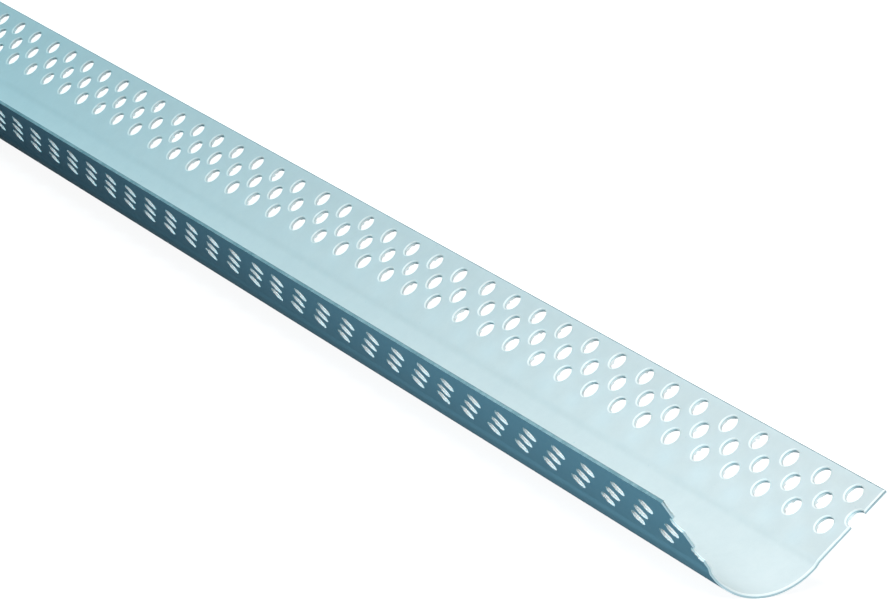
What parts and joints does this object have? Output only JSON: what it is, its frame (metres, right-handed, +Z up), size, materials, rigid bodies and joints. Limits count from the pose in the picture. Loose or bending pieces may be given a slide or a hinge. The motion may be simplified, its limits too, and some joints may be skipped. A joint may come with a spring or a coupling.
{
  "type": "drywall corner bead",
  "caption": "Straight strip of bullnose drywall corner bead: a round nose between two thin flanges at a right angle, each punched with rows of round holes.",
  "frame": {"origin": "centre of the bounding box in plan, at the lowest line of the nose", "axes": "+X along the bead to the end seen in the picture, +Y towards the flange farther from the camera, +Z up, out of the hollow side"},
  "size_m": [1.2192, 0.062, 0.0246],
  "materials": {
    "vinyl": "satin extruded vinyl"
  },
  "bodies": {
    "root": {"corner_bead": "vinyl"}
  },
  "joints": []
}
